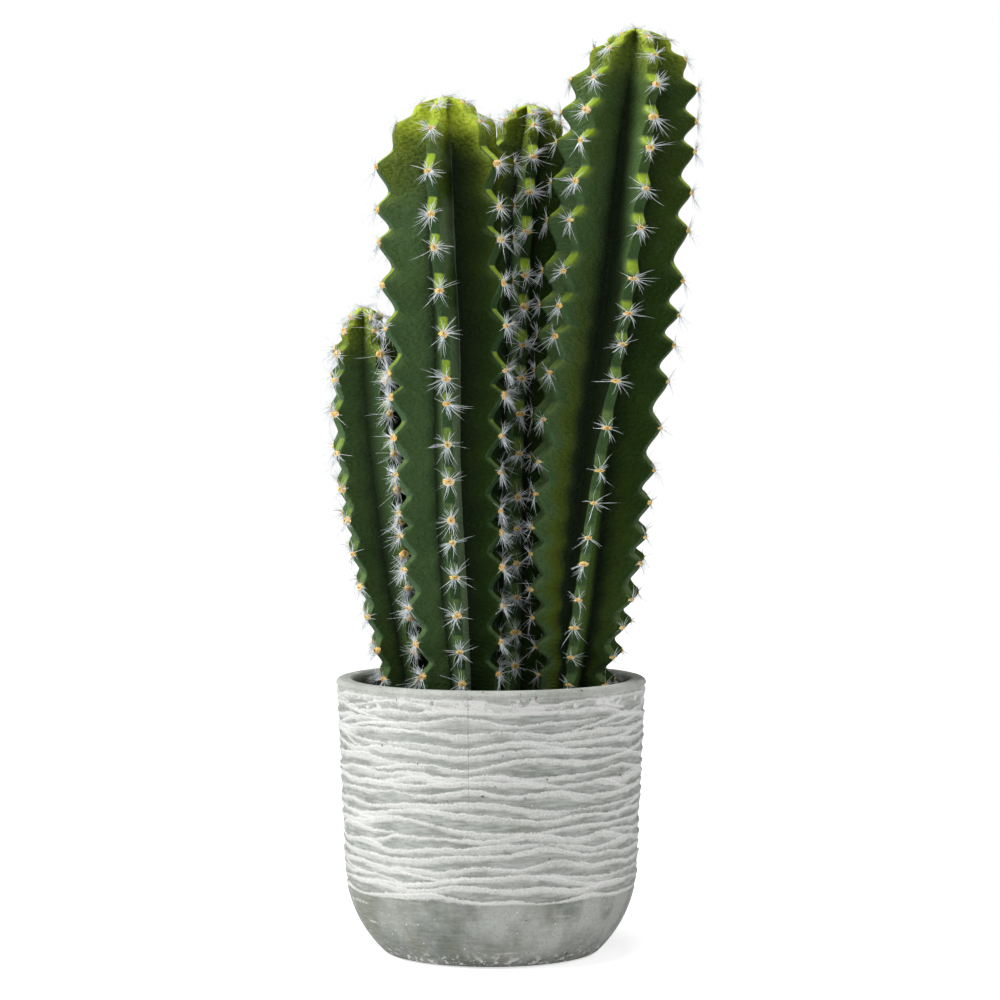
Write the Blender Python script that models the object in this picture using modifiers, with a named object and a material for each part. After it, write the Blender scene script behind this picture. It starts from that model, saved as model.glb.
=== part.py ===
"""Potted columnar cactus: four ribbed stems planted in a round cement pot.

Blender 4.5, metres, +Z up. The origin is the centre of the pot's base, and the
front looks along -Y. Sizes below are in millimetres and are scaled by MM.
"""

import math
from dataclasses import dataclass

import bmesh
import bpy
from mathutils import Vector

MM = 0.001
GAP = 0.3  # between faces that touch

# Pot: an upright tub with a drawn-in foot, a band of sideways ridges and a plain rim.
POT_HEIGHT = 138.0
POT_FOOT_RADIUS = 54.0
POT_BELLY_RADIUS = 74.5
POT_BELLY_HEIGHT = 60.0
POT_RIM_RADIUS = 78.2
POT_BAND_BOTTOM = 27.0
POT_BAND_TOP = 131.0
POT_RIM_ROUND = 2.4
POT_WALL = 8.8
POT_FLOOR = 11.0
POT_HEEL = 12.0  # over this height above the floor the inside stays upright
POT_SIDES = 48
FOOT_HEIGHTS = (20.0, 14.0, 8.0, 3.0, 0.8)
RIDGES = 17
RIDGE_DEPTH = 0.9
RIDGE_LIP = 0.15  # shares of one ridge's height, from its top down
RIDGE_ROOT = 0.95

# Soil: fills the pot to a little below the rim, with a round socket for each stem.
SOIL_TOP = 121.0
SOIL_CROWN = 1.5
SOIL_FLAT_RADIUS = 60.0
SOIL_FOOT_RADIUS = 48.0
INSIDE_HEIGHTS = (23.0, 45.0, 70.0, 100.0)
SOIL_SIDES = 48
SOIL_GAP = 0.4
PEG_RADIUS = 8.0
PEG_LENGTH = 28.0
SOCKET_SIDES = 24

# Stems: the cross-section is a star of thin blades with flat edges.
EDGE_WIDTH = 5.2
EDGE_SHARE = 0.8  # most of a rib's width at its tip that the edge may take
VALLEY_RADIUS = 12.0
VALLEY_SHARE = 0.45  # most of the reach that a valley's radius may take
VALLEY_CROWN = 1.4  # the valleys round over later than the ribs, by this factor
VALLEY_DIP = 3.0
TIP_SHARE = 0.10  # of a tooth's pitch, above and below its tip
TIP_PITCH = 14.0  # longer teeth keep the tip of a tooth this long
NOTCH_SHARE = 0.56
FOOT_BITE = 0.3
DOME_BULGE = 1.5
APEX_RADIUS = 3.0
CROWN_ROWS = (0.0, 1.0, 3.0, 7.0)
LAST_ROW = 3.0
LIFT_FADE_TOP = 10.0  # heights over which a rib's lift fades out
LIFT_FADE_FOOT = 6.7


@dataclass(frozen=True)
class Stem:
    """One stem. Axis, reach and turn are read at even heights, foot to crown."""

    name: str
    ribs: int
    top: float
    crown: float  # height of the rounded end, over which the ribs run in to the apex
    axis: tuple  # (x, y) of the centre line
    reach: tuple  # radius over the tips of the teeth
    turn: tuple  # where the first rib points, in degrees from the front to the right
    first: float  # from the apex down to the first whorl of teeth
    gaps: tuple  # from one whorl to the next, going down
    lift: tuple  # how much higher each rib's teeth sit than their whorl
    bite: float  # depth of the notches at full radius


STEMS = (
    Stem(
        name="stem_front_left",
        ribs=6,
        top=427.4,
        crown=34.0,
        axis=((-14.5, -24), (-18.5, -24), (-21.5, -24), (-21.0, -24), (-22.5, -24), (-22.0, -24)),
        reach=(19.5, 27.0, 29.5, 33.5, 35.0, 35.0),
        turn=(-57.0, -60.0, -76.0),
        first=16.4,
        gaps=(21, 21, 16, 21, 21, 22, 12, 20, 18, 19, 11, 17, 19, 18, 16),
        lift=(3.0, 0.0, 4.0, 6.0, 4.0, 1.0),
        bite=6.5,
    ),
    Stem(
        name="stem_right",
        ribs=6,
        top=462.2,
        crown=34.0,
        axis=((42.0, -10), (47.5, -10), (52.0, -10), (59.5, -10), (66.0, -10), (72.5, -10)),
        reach=(17.0, 30.5, 33.5, 35.5, 35.0, 31.5),
        turn=(-74.0, -49.0, -39.0),
        first=14.2,
        gaps=(15, 16, 15, 20, 19, 25, 17, 15, 18, 23, 21, 16, 17, 13, 18, 14, 15, 14),
        lift=(4.0, 0.0, -0.5, 1.0, 3.0, 5.0),
        bite=6.0,
    ),
    Stem(
        name="stem_back",
        ribs=6,
        top=427.8,
        crown=26.0,
        axis=((9.0, 33), (9.5, 34), (10.5, 34), (12.5, 35), (15.0, 35), (20.0, 35)),
        reach=(21.0, 24.0, 25.0, 26.0, 25.5, 22.0),
        turn=(-52.0, -52.0, -52.0),
        first=11.0,
        gaps=(16, 18, 20, 22, 16, 19, 17, 18, 20, 22, 16, 18, 17, 18, 17),
        lift=(3.0, 0.0, 2.0, 5.0, 1.0, 4.0),
        bite=4.8,
    ),
    Stem(
        name="stem_small_left",
        ribs=5,
        top=324.2,
        crown=30.0,
        axis=((-40.5, 20), (-48.0, 21), (-55.0, 22), (-60.5, 22), (-64.5, 22)),
        reach=(14.5, 20.0, 24.5, 24.0, 16.0),
        turn=(-52.0, -51.0, -49.0),
        first=11.2,
        gaps=(12, 13, 17, 20, 18, 16, 17, 17, 15, 17, 15),
        lift=(0.0, 0.0, 2.0, -2.0, 3.0),
        bite=3.8,
    ),
)


def clear_scene():
    for item in list(bpy.data.objects):
        bpy.data.objects.remove(item, do_unlink=True)


def new_collection(name):
    collection = bpy.data.collections.new(name)
    bpy.context.scene.collection.children.link(collection)
    return collection


def new_material(name, colour, roughness):
    material = bpy.data.materials.new(name)
    material.use_nodes = True
    shader = material.node_tree.nodes["Principled BSDF"]
    shader.inputs["Base Color"].default_value = (*colour, 1.0)
    shader.inputs["Roughness"].default_value = roughness
    return material


def add_mesh(name, mesh, collection, material=None):
    body = bpy.data.objects.new(name, mesh)
    collection.objects.link(body)
    if material:
        mesh.materials.append(material)
    return body


def turned(name, profile, sides, collection, material=None):
    """A solid of revolution. Its profile starts and ends on the axis, and goes down outside."""
    mesh = bpy.data.meshes.new(name)
    points = [(radius * MM, 0.0, height * MM) for radius, height in profile]
    mesh.from_pydata(points, [(i, i + 1) for i in range(len(points) - 1)], [])
    body = add_mesh(name, mesh, collection, material)
    screw = body.modifiers.new("Turn", "SCREW")
    screw.steps = screw.render_steps = sides
    screw.use_merge_vertices = True
    screw.merge_threshold = 0.00001
    screw.use_smooth_shade = True
    return body


def arc(centre, radius, start, end, count):
    """Points on a round of a profile, angles in degrees up from the outward direction."""
    angles = [math.radians(start + (end - start) * i / count) for i in range(count + 1)]
    return [(centre[0] + radius * math.cos(a), centre[1] + radius * math.sin(a)) for a in angles]


def pot_radius(height):
    """Outer radius of the pot: it swells fast from the foot, then opens slowly to the rim."""
    low = 1.0 - min(height, POT_BELLY_HEIGHT) / POT_BELLY_HEIGHT
    high = max(height - POT_BELLY_HEIGHT, 0.0) / (POT_HEIGHT - POT_BELLY_HEIGHT)
    foot = (POT_BELLY_RADIUS - POT_FOOT_RADIUS) * (1.0 - low ** 3)
    return POT_FOOT_RADIUS + foot + (POT_RIM_RADIUS - POT_BELLY_RADIUS) * high


def pot_inner_radius(height):
    return pot_radius(max(height, POT_FLOOR + POT_HEEL)) - POT_WALL


def pot_outside():
    """The pot's outer profile, from the rim's top down to its foot."""
    rim = (POT_RIM_RADIUS - POT_RIM_ROUND, POT_HEIGHT - POT_RIM_ROUND)
    points = arc(rim, POT_RIM_ROUND, 90, 0, 3)
    pitch = (POT_BAND_TOP - POT_BAND_BOTTOM) / RIDGES
    for ridge in range(RIDGES):
        lip = POT_BAND_TOP - pitch * (ridge + RIDGE_LIP)
        root = POT_BAND_TOP - pitch * (ridge + RIDGE_ROOT)
        points.append((pot_radius(lip), lip))
        points.append((pot_radius(root) - RIDGE_DEPTH, root))
    points += [(pot_radius(height), height) for height in FOOT_HEIGHTS]
    return points + [(POT_FOOT_RADIUS, 0.0)]


def pot_inside():
    """The pot's inner profile, from the middle of its floor up to the rim."""
    lip = (pot_inner_radius(POT_HEIGHT) + POT_RIM_ROUND, POT_HEIGHT - POT_RIM_ROUND)
    points = [(0.0, POT_FLOOR), (SOIL_FOOT_RADIUS, POT_FLOOR)]
    points += [(pot_inner_radius(height), height) for height in INSIDE_HEIGHTS]
    return points + arc(lip, POT_RIM_ROUND, 180, 90, 3)[:-1]


def make_pot(collection):
    cement = new_material("cement", (0.42, 0.43, 0.41), 0.85)
    profile = [*pot_inside(), *pot_outside(), (0.0, 0.0)]
    return turned("pot", profile, POT_SIDES, collection, cement)


def make_soil(collection, cutters):
    earth = new_material("dark_soil", (0.025, 0.02, 0.015), 0.95)
    heights = (SOIL_TOP, *reversed(INSIDE_HEIGHTS))
    outside = [(pot_inner_radius(height) - SOIL_GAP, height) for height in heights]
    crown = SOIL_TOP + SOIL_CROWN
    profile = [(0.0, crown), (SOIL_FLAT_RADIUS, crown), *outside]
    profile += [(SOIL_FOOT_RADIUS - SOIL_GAP, POT_FLOOR + GAP), (0.0, POT_FLOOR + GAP)]
    soil = turned("soil", profile, SOIL_SIDES, collection, earth)
    for stem in STEMS:
        socket = bmesh.new()
        bmesh.ops.create_cone(
            socket,
            cap_ends=True,
            segments=SOCKET_SIDES,
            radius1=(PEG_RADIUS + 2 * GAP) * MM,
            radius2=(PEG_RADIUS + 2 * GAP) * MM,
            depth=2 * (PEG_LENGTH + GAP) * MM,
        )
        mesh = bpy.data.meshes.new("socket_" + stem.name)
        socket.to_mesh(mesh)
        socket.free()
        cutter = add_mesh(mesh.name, mesh, cutters)
        x, y = stem.axis[0]
        cutter.location = Vector((x, y, crown + GAP)) * MM
        cutter.hide_render = True
        cutter.display_type = "WIRE"
        cut = soil.modifiers.new("Socket " + stem.name, "BOOLEAN")
        cut.operation = "DIFFERENCE"
        cut.solver = "EXACT"
        cut.object = cutter
    return soil


def smooth(values, share):
    """A value or a pair of values, read on a smooth curve through even stations."""
    last = len(values) - 1
    place = min(max(share, 0.0), 1.0) * last
    index = min(int(place), last - 1)
    part = place - index
    before, here = Vector(values[max(index - 1, 0)]), Vector(values[index])
    after, beyond = Vector(values[index + 1]), Vector(values[min(index + 2, last)])
    rise = (after - before) / 2 * part
    bend = (2 * before - 5 * here + 4 * after - beyond) / 2 * part ** 2
    twist = (3 * here - before - 3 * after + beyond) / 2 * part ** 3
    return here + rise + bend + twist


def stem_foot():
    return SOIL_TOP + SOIL_CROWN + GAP


def height_share(stem, height):
    return (height - stem_foot()) / (stem.top - stem_foot())


def centre_of(stem, height):
    return smooth(stem.axis, height_share(stem, height))


def number_at(values, share):
    return smooth([(value, 0.0) for value in values], share)[0]


def dome(stem, height, tall):
    """How much of the full radius is left at this height under the rounded crown."""
    below = min(max(stem.top - height, 0.0) / tall, 1.0)
    return (1.0 - (1.0 - below) ** DOME_BULGE) ** 0.5


def tip_radius(stem, height):
    full = number_at(stem.reach, height_share(stem, height))
    return max(full * dome(stem, height, stem.crown), APEX_RADIUS)


def stem_rows(stem):
    """Rows of the loft from the apex down: (height, share of the bite)."""
    rows = [(stem.top - drop, 0.0) for drop in CROWN_ROWS]
    height = stem.top - stem.first
    for gap in (*stem.gaps, 0.0):
        tip = min(gap, TIP_PITCH) * TIP_SHARE
        rows += [(height + tip, 0.0), (height - tip, 0.0), (height - gap * NOTCH_SHARE, 1.0)]
        height -= gap
    rows = [row for row in rows[:-1] if row[0] > stem_foot() + LAST_ROW]
    return rows + [(stem_foot(), FOOT_BITE)]


def lift_of(stem, rib, height):
    """The rib's lift, faded out at both ends so that the crown and the foot stay level."""
    fade = min((stem.top - height) / LIFT_FADE_TOP, (height - stem_foot()) / LIFT_FADE_FOOT)
    return stem.lift[rib] * min(max(fade, 0.0), 1.0)


def rib_points(stem, rib, height, share_of_bite):
    """One rib in one row: its edge's left and right corner, and the valley after it."""
    share = height_share(stem, height)
    azimuth = math.radians(number_at(stem.turn, share) + 360.0 * rib / stem.ribs)
    outward = Vector((math.sin(azimuth), -math.cos(azimuth)))
    sideways = Vector((math.cos(azimuth), math.sin(azimuth)))
    edge_height = height + lift_of(stem, rib, height)
    reach = tip_radius(stem, edge_height)
    tip = reach - stem.bite * share_of_bite * dome(stem, height, stem.crown)
    half = min(EDGE_WIDTH / 2, EDGE_SHARE * tip * math.tan(math.pi / stem.ribs))
    centre = centre_of(stem, height)
    left = centre + outward * tip - sideways * half
    right = centre + outward * tip + sideways * half
    middle = azimuth + math.pi / stem.ribs
    inner = min(VALLEY_RADIUS, VALLEY_SHARE * reach)
    inner *= dome(stem, height, VALLEY_CROWN * stem.crown)
    inner = max(inner, APEX_RADIUS / 2)
    valley = centre + Vector((math.sin(middle), -math.cos(middle))) * inner
    dip = VALLEY_DIP * (1.0 - dome(stem, height, stem.crown))
    return (
        Vector((left.x, left.y, edge_height)),
        Vector((right.x, right.y, edge_height)),
        Vector((valley.x, valley.y, height - dip)),
    )


def peg_rings(stem, count):
    """Two rings of the round peg that plants the stem, top and bottom."""
    x, y = stem.axis[0]
    turn = math.radians(stem.turn[0]) - 2 * math.pi / count
    rings = []
    for height in (stem_foot(), stem_foot() - PEG_LENGTH + GAP):
        angles = [turn + 2 * math.pi * i / count for i in range(count)]
        ring = [(x + PEG_RADIUS * math.sin(a), y - PEG_RADIUS * math.cos(a)) for a in angles]
        rings.append([Vector((px, py, height)) for px, py in ring])
    return rings


def loft(name, rings):
    """A closed skin over rings of equal count that run downwards, capped at both ends."""
    shape = bmesh.new()
    rows = [[shape.verts.new(point * MM) for point in ring] for ring in rings]
    count = len(rows[0])
    for upper, lower in zip(rows, rows[1:]):
        for i in range(count):
            j = (i + 1) % count
            shape.faces.new((upper[i], lower[i], lower[j], upper[j]))
    shape.faces.new(rows[0])
    shape.faces.new(list(reversed(rows[-1])))
    bmesh.ops.triangulate(shape, faces=shape.faces[:])
    bmesh.ops.recalc_face_normals(shape, faces=shape.faces[:])
    mesh = bpy.data.meshes.new(name)
    shape.to_mesh(mesh)
    shape.free()
    return mesh


def make_stem(stem, collection):
    rings = []
    for height, share_of_bite in stem_rows(stem):
        corners = [rib_points(stem, rib, height, share_of_bite) for rib in range(stem.ribs)]
        rings.append([point for corner in corners for point in corner])
    rings += peg_rings(stem, len(rings[0]))
    green = new_material(stem.name + "_skin", (0.045, 0.11, 0.03), 0.6)
    return add_mesh(stem.name, loft(stem.name, rings), collection, green)


def main():
    clear_scene()
    parts = new_collection("potted_columnar_cactus")
    cutters = new_collection("cutters")
    make_pot(parts)
    make_soil(parts, cutters)
    for stem in STEMS:
        make_stem(stem, parts)


main()
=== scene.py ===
"""Potted columnar cactus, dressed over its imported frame.

Sizes are in millimetres, scaled by MM. The stems repeat the frame's own driving values and are
skinned again with far finer rows, teeth, felt and spines. The front faces -Y.
"""

import math
import random

import bmesh
import bpy
import numpy as np
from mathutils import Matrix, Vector


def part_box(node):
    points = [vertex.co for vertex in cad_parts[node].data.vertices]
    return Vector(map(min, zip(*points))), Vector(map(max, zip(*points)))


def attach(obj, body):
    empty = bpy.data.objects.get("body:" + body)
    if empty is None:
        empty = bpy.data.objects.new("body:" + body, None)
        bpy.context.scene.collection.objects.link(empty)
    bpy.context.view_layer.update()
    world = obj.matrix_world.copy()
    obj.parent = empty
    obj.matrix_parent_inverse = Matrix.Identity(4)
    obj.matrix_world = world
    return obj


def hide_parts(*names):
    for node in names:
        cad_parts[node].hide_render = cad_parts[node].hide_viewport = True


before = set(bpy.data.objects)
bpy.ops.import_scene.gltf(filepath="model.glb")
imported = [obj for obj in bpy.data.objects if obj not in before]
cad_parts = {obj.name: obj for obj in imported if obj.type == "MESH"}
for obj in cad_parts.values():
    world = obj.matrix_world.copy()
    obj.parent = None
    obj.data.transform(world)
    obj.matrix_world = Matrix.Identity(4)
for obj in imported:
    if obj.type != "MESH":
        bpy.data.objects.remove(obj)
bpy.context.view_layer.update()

MM = 0.001
BODY = "root"
FULL_TURN = 2 * math.pi
QUARTER_TURN = math.pi / 2

# ---------------------------------------------------------------- driving values

POT_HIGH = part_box("pot")[1] / MM
SOIL_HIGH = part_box("soil")[1] / MM
POT_HEIGHT = POT_HIGH.z
POT_RIM_RADIUS = POT_HIGH.x
POT_FOOT_RADIUS = 54.0
POT_BELLY_RADIUS = 74.5
POT_BELLY_HEIGHT = 60.0
POT_BAND_BOTTOM = 36.5
POT_BAND_TOP = POT_HEIGHT - 5.0
POT_WALL = 8.8
POT_INSIDE_BOTTOM = 112.0
RIM_ROUND = 2.4

STEM_FOOT = SOIL_HIGH.z + 0.3
EDGE_WIDTH = 5.2
EDGE_SHARE = 0.8
VALLEY_RADIUS = 12.0
VALLEY_SHARE = 0.45
VALLEY_CROWN = 1.4
VALLEY_DIP = 3.0
NOTCH_SHARE = 0.60  # how far down from a tip its notch lies
APEX_RADIUS = 3.0
LIFT_FADE_TOP = 10.0
LIFT_FADE_FOOT = 6.7
CROWN_TIP = 4.5  # the highest areole of each rib, below the top

# Shape: crown and bulge, the height and the power of a dome; bite, a notch's depth; first, the second
# areole below the top, then the gaps down from there; lift, each rib's own shift; axis, the centre as
# (x, y), reach, the radius over a tip, and turn, the first rib's angle in degrees, at even stations
# from the soil up; areole, the tufts' size; bare, how far old age takes felt and spines.
# Looks: sun, the angle of the stem's light, by which the skin is painted lighter on faces turned to it
# and darker on faces turned away; dark, the painted shade in the valleys, and shade, the power of that
# painted shade on the flank before a valley and after it; sink, how far lit flanks darken sooner with
# it; sheen and crease, a painted sheen on flanks turned from the light and a painted highlight along
# their valleys' creases; strip, the ribs' own colour; zone and olive, the olive crown's height and
# strength, fresh and glow the lime one's; lime, leaf and crisp, the strength, point and sharpness of a
# tooth's patch, partly its lime and partly painted light, and swell, that patch on the flanks, painted
# stronger where they turn to the light; moss, age's yellow, laid only where a flank turns to the light,
# so partly painted light.
USUAL = dict(
    ribs=6, areole=1.0, bare=0.0, sun=-70.0, dark=1.0, sheen=0.0, crease=0.2, zone=62.0, crisp=0.5, moss=0.0)
STEMS = {
    "stem_front_left": dict(
        USUAL, crown=34.0, bulge=1.35, bite=6.5, first=16.4,
        gaps=(21, 21, 16, 21, 21, 22, 12, 20, 18, 19, 11, 17, 19, 18, 16),
        lift=(3.0, 0.0, 4.0, 6.0, 4.0, 1.0),
        axis=((-14.5, -24), (-18.5, -24), (-21.5, -24), (-21.0, -24), (-22.5, -24), (-22.0, -24)),
        reach=(19.5, 27.0, 29.5, 33.5, 35.0, 35.0),
        turn=(-57.0, -60.0, -76.0),
        shade=(6.0, 0.6), sink=0.0, sheen=1.1, crease=1.9, strip=1.0,
        olive=0.95, fresh=56.0, glow=0.95, lime=1.0, leaf=0.1, crisp=1.0, swell=2.2,
    ),
    "stem_right": dict(
        USUAL, crown=34.0, bulge=1.6, bite=6.0, first=14.2, bare=0.65,
        gaps=(15, 16, 15, 20, 19, 25, 17, 15, 18, 23, 21, 16, 17, 13, 18, 14, 15, 14),
        lift=(4.0, 0.0, -0.5, 1.0, 3.0, 5.0),
        axis=((42.0, -10), (47.5, -10), (52.0, -10), (59.5, -10), (66.0, -10), (72.5, -10)),
        reach=(17.0, 30.5, 33.5, 35.5, 35.0, 31.5),
        turn=(-74.0, -49.0, -39.0),
        sun=-52.0, shade=(3.2, 2.2), sink=1.1, crease=0.0, strip=0.4,
        olive=0.36, fresh=30.0, glow=0.25, lime=0.95, leaf=0.2, crisp=0.0, swell=3.6, moss=1.0,
    ),
    "stem_back": dict(
        USUAL, crown=26.0, bulge=1.8, bite=4.8, first=11.0,
        gaps=(16, 18, 20, 22, 16, 19, 17, 18, 20, 22, 16, 18, 17, 18, 17),
        lift=(3.0, 0.0, 2.0, 5.0, 1.0, 4.0),
        axis=((9.0, 33), (9.5, 34), (10.5, 34), (12.5, 35), (15.0, 35), (20.0, 35)),
        reach=(21.0, 24.0, 25.0, 26.0, 25.5, 22.0),
        turn=(-52.0, -52.0, -52.0),
        dark=0.9, shade=(2.0, 2.0), sink=0.3, strip=0.7,
        olive=1.0, fresh=26.0, glow=0.1, lime=1.0, leaf=0.3, swell=2.4,
    ),
    "stem_small_left": dict(
        USUAL, ribs=5, crown=30.0, bulge=1.9, bite=3.8, first=11.2, areole=1.12,
        gaps=(12, 13, 17, 20, 18, 16, 17, 17, 15, 17, 15),
        lift=(0.0, 0.0, 2.0, -2.0, 3.0),
        axis=((-40.5, 20), (-48.0, 21), (-55.0, 22), (-60.5, 22), (-64.5, 22)),
        reach=(14.5, 20.0, 24.5, 24.0, 16.0),
        turn=(-52.0, -51.0, -49.0),
        dark=0.85, shade=(1.6, 0.7), sink=0.2, strip=0.5,
        zone=34.0, olive=0.9, fresh=30.0, glow=0.1, lime=0.6, leaf=0.4, swell=1.6, moss=0.25,
    ),
}

# ---------------------------------------------------------------- small helpers


def smooth(values, share):
    """Rows of values read on a smooth (Catmull-Rom) curve through even stations, for an array of shares."""
    rows = np.asarray(values, float)
    rows = rows[:, None] if rows.ndim == 1 else rows
    last = len(rows) - 1
    place = np.clip(share, 0, 1) * last
    index = np.minimum(place.astype(int), last - 1)
    part = (place - index)[:, None]
    before, here = rows[np.maximum(index - 1, 0)], rows[index]
    after, beyond = rows[index + 1], rows[np.minimum(index + 2, last)]
    rise = (after - before) / 2 * part
    bend = (2 * before - 5 * here + 4 * after - beyond) / 2 * part**2
    twist = (3 * here - before - 3 * after + beyond) / 2 * part**3
    return here + rise + bend + twist


def unit(values):
    return np.clip(values, 0.0, 1.0)


def fading(below, span):
    """1 at nothing below, down to 0 at the span."""
    return unit(1.0 - below / span)


def hump(part, tall):
    """0 at both ends and a quarter of tall halfway."""
    return tall * part * (1.0 - part)


def bell(away, wide):
    return np.exp(-((away / wide) ** 2))


def direction(angles):
    """The flat unit vector at each angle, from the front."""
    return np.stack([np.sin(angles), -np.cos(angles)], -1)


def sideways(angles):
    """The flat unit vector a quarter turn on from each angle's direction."""
    return np.stack([np.cos(angles), np.sin(angles)], -1)


def add_piece(name, vertices, faces, material, replaced=None, marks=None):
    """A smooth mesh piece from points in millimetres, riding on the body.

    marks are numbers for each vertex, which the material reads by name.
    """
    mesh = bpy.data.meshes.new(name)
    mesh.from_pydata((np.asarray(vertices) * MM).tolist(), [], faces)
    mesh.validate()
    mesh.polygons.foreach_set("use_smooth", [True] * len(mesh.polygons))
    mesh.materials.append(material)
    for mark, values in (marks or {}).items():
        attribute = mesh.attributes.new(mark, "FLOAT", "POINT")
        attribute.data.foreach_set("value", np.asarray(values, np.float32))
    piece = bpy.data.objects.new(name, mesh)
    bpy.context.scene.collection.objects.link(piece)
    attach(piece, BODY)
    if replaced:
        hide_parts(replaced)
    return piece


def grid_faces(rows, columns):
    """Quads over rows of points, each row joined round."""
    return [
        (r * columns + c, (r + 1) * columns + c,
         (r + 1) * columns + (c + 1) % columns, r * columns + (c + 1) % columns)
        for r in range(rows - 1) for c in range(columns)
    ]


def reverse(faces):
    return [tuple(reversed(face)) for face in faces]


# ---------------------------------------------------------------- materials

EVEN = (1.0, 1.0, 1.0)
UNIT = (0.0, 1.0)
MIX_COLOURS, MIX_RESULT = (6, 7), 2  # where a colour Mix node keeps its two colours and its result


class Nodes:
    """A short way to write a node tree: add(type, settings, input=value or socket)."""

    def __init__(self, name, kind="materials"):
        self.owner = getattr(bpy.data, kind).new(name)
        self.owner.use_nodes = True
        self.tree = self.owner.node_tree

    def add(self, kind, settings=None, **inputs):
        """A new node. An input is named for its socket, or i0 and i1 for a numbered one."""
        node = self.tree.nodes.new(kind)
        for key, value in (settings or {}).items():
            setattr(node, key, value)
        for key, value in inputs.items():
            numbered = key[0] == "i" and key[1:].isdigit()
            self.put(node.inputs[int(key[1:]) if numbered else key.replace("_", " ")], value)
        return node

    def put(self, socket, value):
        if isinstance(value, bpy.types.NodeSocket):
            self.tree.links.new(value, socket)
        else:
            socket.default_value = value

    def place(self, stretch=EVEN):
        """The object's own coordinates, scaled along each axis."""
        place = self.add("ShaderNodeTexCoord").outputs["Object"]
        if stretch == EVEN:
            return place
        return self.add("ShaderNodeVectorMath", {"operation": "MULTIPLY"}, i0=place, i1=stretch).outputs[0]

    def noise(self, scale, detail=4.0, rough=0.55, stretch=EVEN):
        node = self.add("ShaderNodeTexNoise", None, Scale=scale, Detail=detail, Roughness=rough,
                        Vector=self.place(stretch))
        return node.outputs["Fac"]

    def value(self, name):
        return self.add("ShaderNodeAttribute", {"attribute_name": name}).outputs["Fac"]

    def fields(self, noises, marks):
        """Noises from their table and the vertices' marks, by name."""
        found = {name: self.noise(*facts) for name, facts in noises.items()}
        return found | {name: self.value(name) for name in marks}

    def cells(self, scale):
        return self.add("ShaderNodeTexVoronoi", None, Scale=scale, Vector=self.place()).outputs

    def math(self, operation, a, b=0.0, clamp=False):
        settings = {"operation": operation, "use_clamp": clamp}
        return self.add("ShaderNodeMath", settings, i0=a, i1=b).outputs[0]

    def times(self, a, b):
        return self.math("MULTIPLY", a, b)

    def plus(self, a, b):
        return self.math("ADD", a, b)

    def less(self, a, b):
        return self.math("SUBTRACT", a, b)

    def swing(self, noise, size):
        """A noise about zero, of this size."""
        return self.times(self.less(noise, 0.5), size)

    def remap(self, value, source=UNIT, target=UNIT):
        """A value's range laid on another, and held at its ends."""
        node = self.add("ShaderNodeMapRange", None, Value=value, From_Min=source[0], From_Max=source[1],
                        To_Min=target[0], To_Max=target[1])
        return node.outputs["Result"]

    def mix(self, share, *colours):
        node = self.add("ShaderNodeMix", {"data_type": "RGBA"})
        self.put(node.inputs["Factor"], share)
        for socket, colour in zip(MIX_COLOURS, colours):
            self.put(node.inputs[socket], (*colour, 1.0) if isinstance(colour, tuple) else colour)
        return node.outputs[MIX_RESULT]

    def blends(self, here, table):
        """A colour for each row of a table: a field, its range, and the colours at that range's ends."""
        return {name: self.mix(self.remap(here[field], source), *colours)
                for name, (field, source, *colours) in table.items()}

    def level(self, here, readings):
        """The product of fields, each read over its range."""
        first, *others = [self.remap(here[field], *ranges) for field, *ranges in readings]
        for other in others:
            first = self.times(first, other)
        return first

    def paint(self, colour, here, layers):
        """A colour under each layer of a table: its own colour or a blend's name, then its readings."""
        for layer, *readings in layers:
            colour = self.mix(self.level(here, readings), colour, here.get(layer, layer))
        return colour

    def bump(self, height, strength, distance, under=None):
        node = self.add("ShaderNodeBump", None, Strength=strength, Distance=distance, Height=height)
        if under:
            self.put(node.inputs["Normal"], under)
        return node.outputs["Normal"]

    def finish(self, **inputs):
        """The material, with these inputs to its shader."""
        shader = self.tree.nodes["Principled BSDF"]
        for key, value in inputs.items():
            self.put(shader.inputs[key.replace("_", " ")], value)
        return self.owner


# Colours are linear. Noises are given as scale, detail, roughness and stretch; blends as a field, its
# range and the colours at its ends; layers, the lowest first, as a colour and the fields that bring it
# on, each with its range and, unless it's 0 to 1, what the range's ends stand for. Bumps are given as
# strength and metres.

WIDE = (0.62, 0.62, 1.0)
PATCHES = (0.35, 0.65)
SUN = (-0.4, 0.7)
SKIN_NOISES = {
    "grain": (1500.0, 4.0),
    "leather": (720.0, 4.0, 0.55, WIDE),
    "patch": (38.0, 3.0),
    "drift": (14.0, 2.0),
}
SKIN_MARKS = (
    "crown_near", "tip_near", "on_edge", "upper_slope", "valley_near", "corner", "sunny", "yellowing_and_painted_light")
SKIN_BLENDS = {
    # the skin's green as painted shade and as painted light
    "shady_green": ("patch", PATCHES, (0.015, 0.037, 0.004), (0.025, 0.056, 0.007)),
    "lit_green": ("patch", PATCHES, (0.070, 0.133, 0.047), (0.096, 0.171, 0.066)),
    "lime": ("tip_near", (0.35, 0.95), (0.430, 0.535, 0.034), (0.640, 0.760, 0.070)),
    "pore": ("tip_near", (0.3, 0.9), (0.032, 0.050, 0.004), (0.200, 0.260, 0.014)),
    "slope_lime": ("upper_slope", (0.15, 0.55), (0.200, 0.290, 0.120), (0.320, 0.450, 0.035)),
}
OLIVE, YELLOWED, BLOOM = (0.128, 0.172, 0.007), (0.105, 0.145, 0.006), (0.110, 0.160, 0.066)
PAINTED_VALLEY_SHADE, RIB_DARK, PALE_WEAR_AND_SHEEN = (0.004, 0.008, 0.003), (0.026, 0.068, 0.034), (0.200, 0.275, 0.160)
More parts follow.
